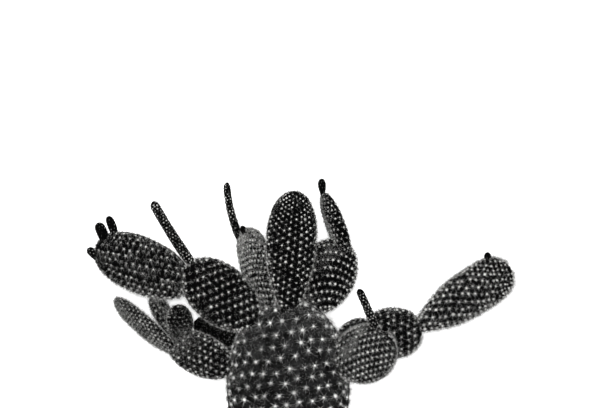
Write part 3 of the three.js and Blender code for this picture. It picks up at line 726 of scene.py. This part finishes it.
# ---- Right front pad, its finger and bud ---------------------------------------------------------------
# A round pad on the main pad's right rim, in front of the others there. Its areoles stand in files along it.
# A short finger grows on its upper rim, and a bud beside that.

right_front_pad = segment_shape((25.82, -17.03, 21.69), (70.31, -0.94, 31), width=43, thick=12.5, widest=0.53,
                                neck=0.3, turn=8)
places = areole_places(right_front_pad, pitch=3.6, row=5.2, heading=88, sag=0.5, uneven=0.12, seed=14)
grow_skin("right_front_pad", right_front_pad, places, cell=0.8, swell=0.4, swell_width=1.3, material=pad_skin)
grow_tufts("right_front_pad", right_front_pad, places, felt=0.7, bristles=17, reach=1.8, thick=0.19, splay=58,
           hairs=16, hair_reach=3.6, material=pad_bristles, seed=61)
upper_down = (0.24, 1.87, 2.5, 600), (0.38, 2.13, 2.5, 600), (0.56, 2.53, 2.5, 500)
grow_nap("right_front_pad", right_front_pad, number=900, long=1.7, width=0.13, material=down, seed=161,
         patches=upper_down, fringe=700, outermost=3.8)

right_finger = segment_shape((56.04, 8.87, 27.88), (43.11, 39.46, 30), width=5.6, thick=5.3, widest=0.55,
                             neck=0.7, bow=0.4, blunt=9)
places = areole_rings(right_finger, pitch=2.4, row=2.2, uneven=0.2, seed=15)
grow_skin("right_finger", right_finger, places, cell=0.45, swell=0.3, swell_width=0.85, material=young_skin)
grow_tufts("right_finger", right_finger, places, felt=0.42, bristles=7, reach=0.8, thick=0.16, splay=60,
           hairs=2, hair_reach=1.3, material=pad_bristles, seed=62)
grow_nap("right_finger", right_finger, number=40, long=0.9, width=0.13, material=down, seed=162, fringe=120,
         outermost=1.9, spread=0.3)

right_front_bud = segment_shape((61.24, 6.07, 29.07), (64.51, 13.66, 30.5), width=4.2, thick=4, widest=0.6,
                                neck=0.6)
places = areole_places(right_front_bud, pitch=2.2, row=2.0)
grow_skin("right_front_bud", right_front_bud, places, cell=0.35, swell=0.22, swell_width=0.6,
          material=young_skin)
grow_tufts("right_front_bud", right_front_bud, places, felt=0.22, bristles=5, reach=0.45, thick=0.14,
           splay=62, hairs=0, hair_reach=0, material=young_and_shaded_bristles, seed=63)

# ---- Pads behind it, out to the far right -------------------------------------------------------------
# A small pad on the main pad's right rim carries a round one, and that the long pad which reaches furthest
# right, with one bud on its upper edge. They lie low, and the long one rests on the surface near its tip.

right_back_pad = segment_shape((26.98, -4.74, 14.91), (54.21, 11.76, 9.5), width=24, thick=9, widest=0.55,
                               neck=0.34)
places = areole_places(right_back_pad, pitch=4.6, row=4.4, uneven=0.35, seed=16)
grow_skin("right_back_pad", right_back_pad, places, cell=0.8, swell=0.4, swell_width=1.4, material=pad_skin)
grow_tufts("right_back_pad", right_back_pad, places, felt=0.66, bristles=15, reach=1.7, thick=0.19, splay=54,
           hairs=9, hair_reach=2.7, material=pad_bristles, seed=71)
grow_nap("right_back_pad", right_back_pad, number=280, long=1.6, width=0.17, material=down, seed=171,
         fringe=400)

right_far_round_pad = segment_shape((49.21, 6.26, 10), (90.51, 6.26, 8.6), width=36.5, thick=12, widest=0.5,
                                    neck=0.3, blunt=2.5)
places = areole_places(right_far_round_pad, pitch=5.3, row=5.1, uneven=0.4, seed=17)
grow_skin("right_far_round_pad", right_far_round_pad, places, cell=0.8, swell=0.45, swell_width=1.4,
          material=pad_skin)
grow_tufts("right_far_round_pad", right_far_round_pad, places, felt=0.8, bristles=19, reach=1.8, thick=0.19,
           splay=56, hairs=16, hair_reach=3.6, material=pad_bristles, seed=72)
grow_nap("right_far_round_pad", right_far_round_pad, number=700, long=1.7, width=0.17, material=down,
         seed=172, fringe=800, outermost=4.2)

far_right_pad = segment_shape((86.56, 10.01, 9.09), (157.31, 55.46, 3.9), width=34, thick=12.5, widest=0.66,
                              neck=0.26, blunt=3)
places = areole_places(far_right_pad, pitch=4.9, row=5.6, heading=57, crowd=0.65, uneven=0.5, seed=18)
grow_skin("far_right_pad", far_right_pad, places, cell=0.8, swell=0.45, swell_width=1.4, material=pad_skin)
grow_tufts("far_right_pad", far_right_pad, places, felt=0.88, bristles=22, reach=1.9, thick=0.2, splay=58,
           hairs=17, hair_reach=4.2, material=pad_bristles, seed=73)
grow_nap("far_right_pad", far_right_pad, number=800, long=1.8, width=0.17, material=down, seed=173,
         fringe=1200, outermost=4.8)

far_right_bud = segment_shape((140.1, 59.36, 5.12), (140.61, 66.86, 5.8), width=4.9, thick=4.6, widest=0.6,
                              neck=0.6)
places = areole_places(far_right_bud, pitch=2.2, row=2.0)
grow_skin("far_right_bud", far_right_bud, places, cell=0.35, swell=0.24, swell_width=0.6, material=young_skin)
grow_tufts("far_right_bud", far_right_bud, places, felt=0.22, bristles=5, reach=0.45, thick=0.14, splay=62,
           hairs=0, hair_reach=0, material=young_and_shaded_bristles, seed=74)

# ---- Table, light and camera ---------------------------------------------------------------------------
# The branch lies on a wide sheet of opal acrylic, lit from below as well as above so that it stays white.
# The light is a large soft box overhead and a bright white room; the camera looks straight down.

acrylic = bpy.data.materials.new("opal acrylic")
acrylic.use_nodes = True
tree = acrylic.node_tree
tree.nodes.clear()
grain = add_node(tree, "ShaderNodeTexNoise", {}, {"Scale": 3.0, "Detail": 2.0}).outputs["Fac"]
sheet = add_node(tree, "ShaderNodeBsdfPrincipled", {}, {
    "Base Color": ramp(tree, grain, [(0.3, "#f4f4f4"), (0.7, "#f7f7f7")]), "Roughness": 0.6,
    "Specular IOR Level": 0.2, "Emission Color": (1.0, 1.0, 1.0, 1.0), "Emission Strength": 0.8})
add_node(tree, "ShaderNodeOutputMaterial", {}, {"Surface": sheet.outputs["BSDF"]})
sheet_width = 40
bpy.ops.mesh.primitive_plane_add(size=sheet_width, location=(0, 0, 0))
table = bpy.context.object
table.name = "table"
table.data.materials.append(acrylic)

world = bpy.data.worlds.new("white room")
bpy.context.scene.world = world
world.use_nodes = True
walls = world.node_tree.nodes["Background"]
walls.inputs["Color"].default_value = linear("#ffffff")
walls.inputs["Strength"].default_value = 0.75

box_width, box_watts = 1.2, 26
box_light = bpy.data.lights.new("soft box", "AREA")
box_light.shape, box_light.energy = "RECTANGLE", box_watts
box_light.size = box_light.size_y = box_width
soft_box = bpy.data.objects.new("soft box", box_light)
soft_box.location = (-0.5, 0.7, 1.6)
lit_point = Vector((0, 0.05, 0))
soft_box.rotation_euler = (lit_point - soft_box.location).to_track_quat("-Z", "Y").to_euler()
bpy.context.scene.collection.objects.link(soft_box)

# a long lens high up, so that near and far pads keep their true sizes; it is centred over the photograph's
# middle, which is nearer the tips than the cut foot
middle_x, middle_y, height = 3.71, 103.26, 3845
lens = bpy.data.cameras.new("camera")
lens.sensor_width, lens.lens, lens.clip_end = 36.0, 300.0, 100.0
camera = bpy.data.objects.new("camera", lens)
camera.location = (middle_x * MM, middle_y * MM, height * MM)
bpy.context.scene.collection.objects.link(camera)
bpy.context.scene.camera = camera
bpy.context.scene.view_settings.view_transform = "Standard"
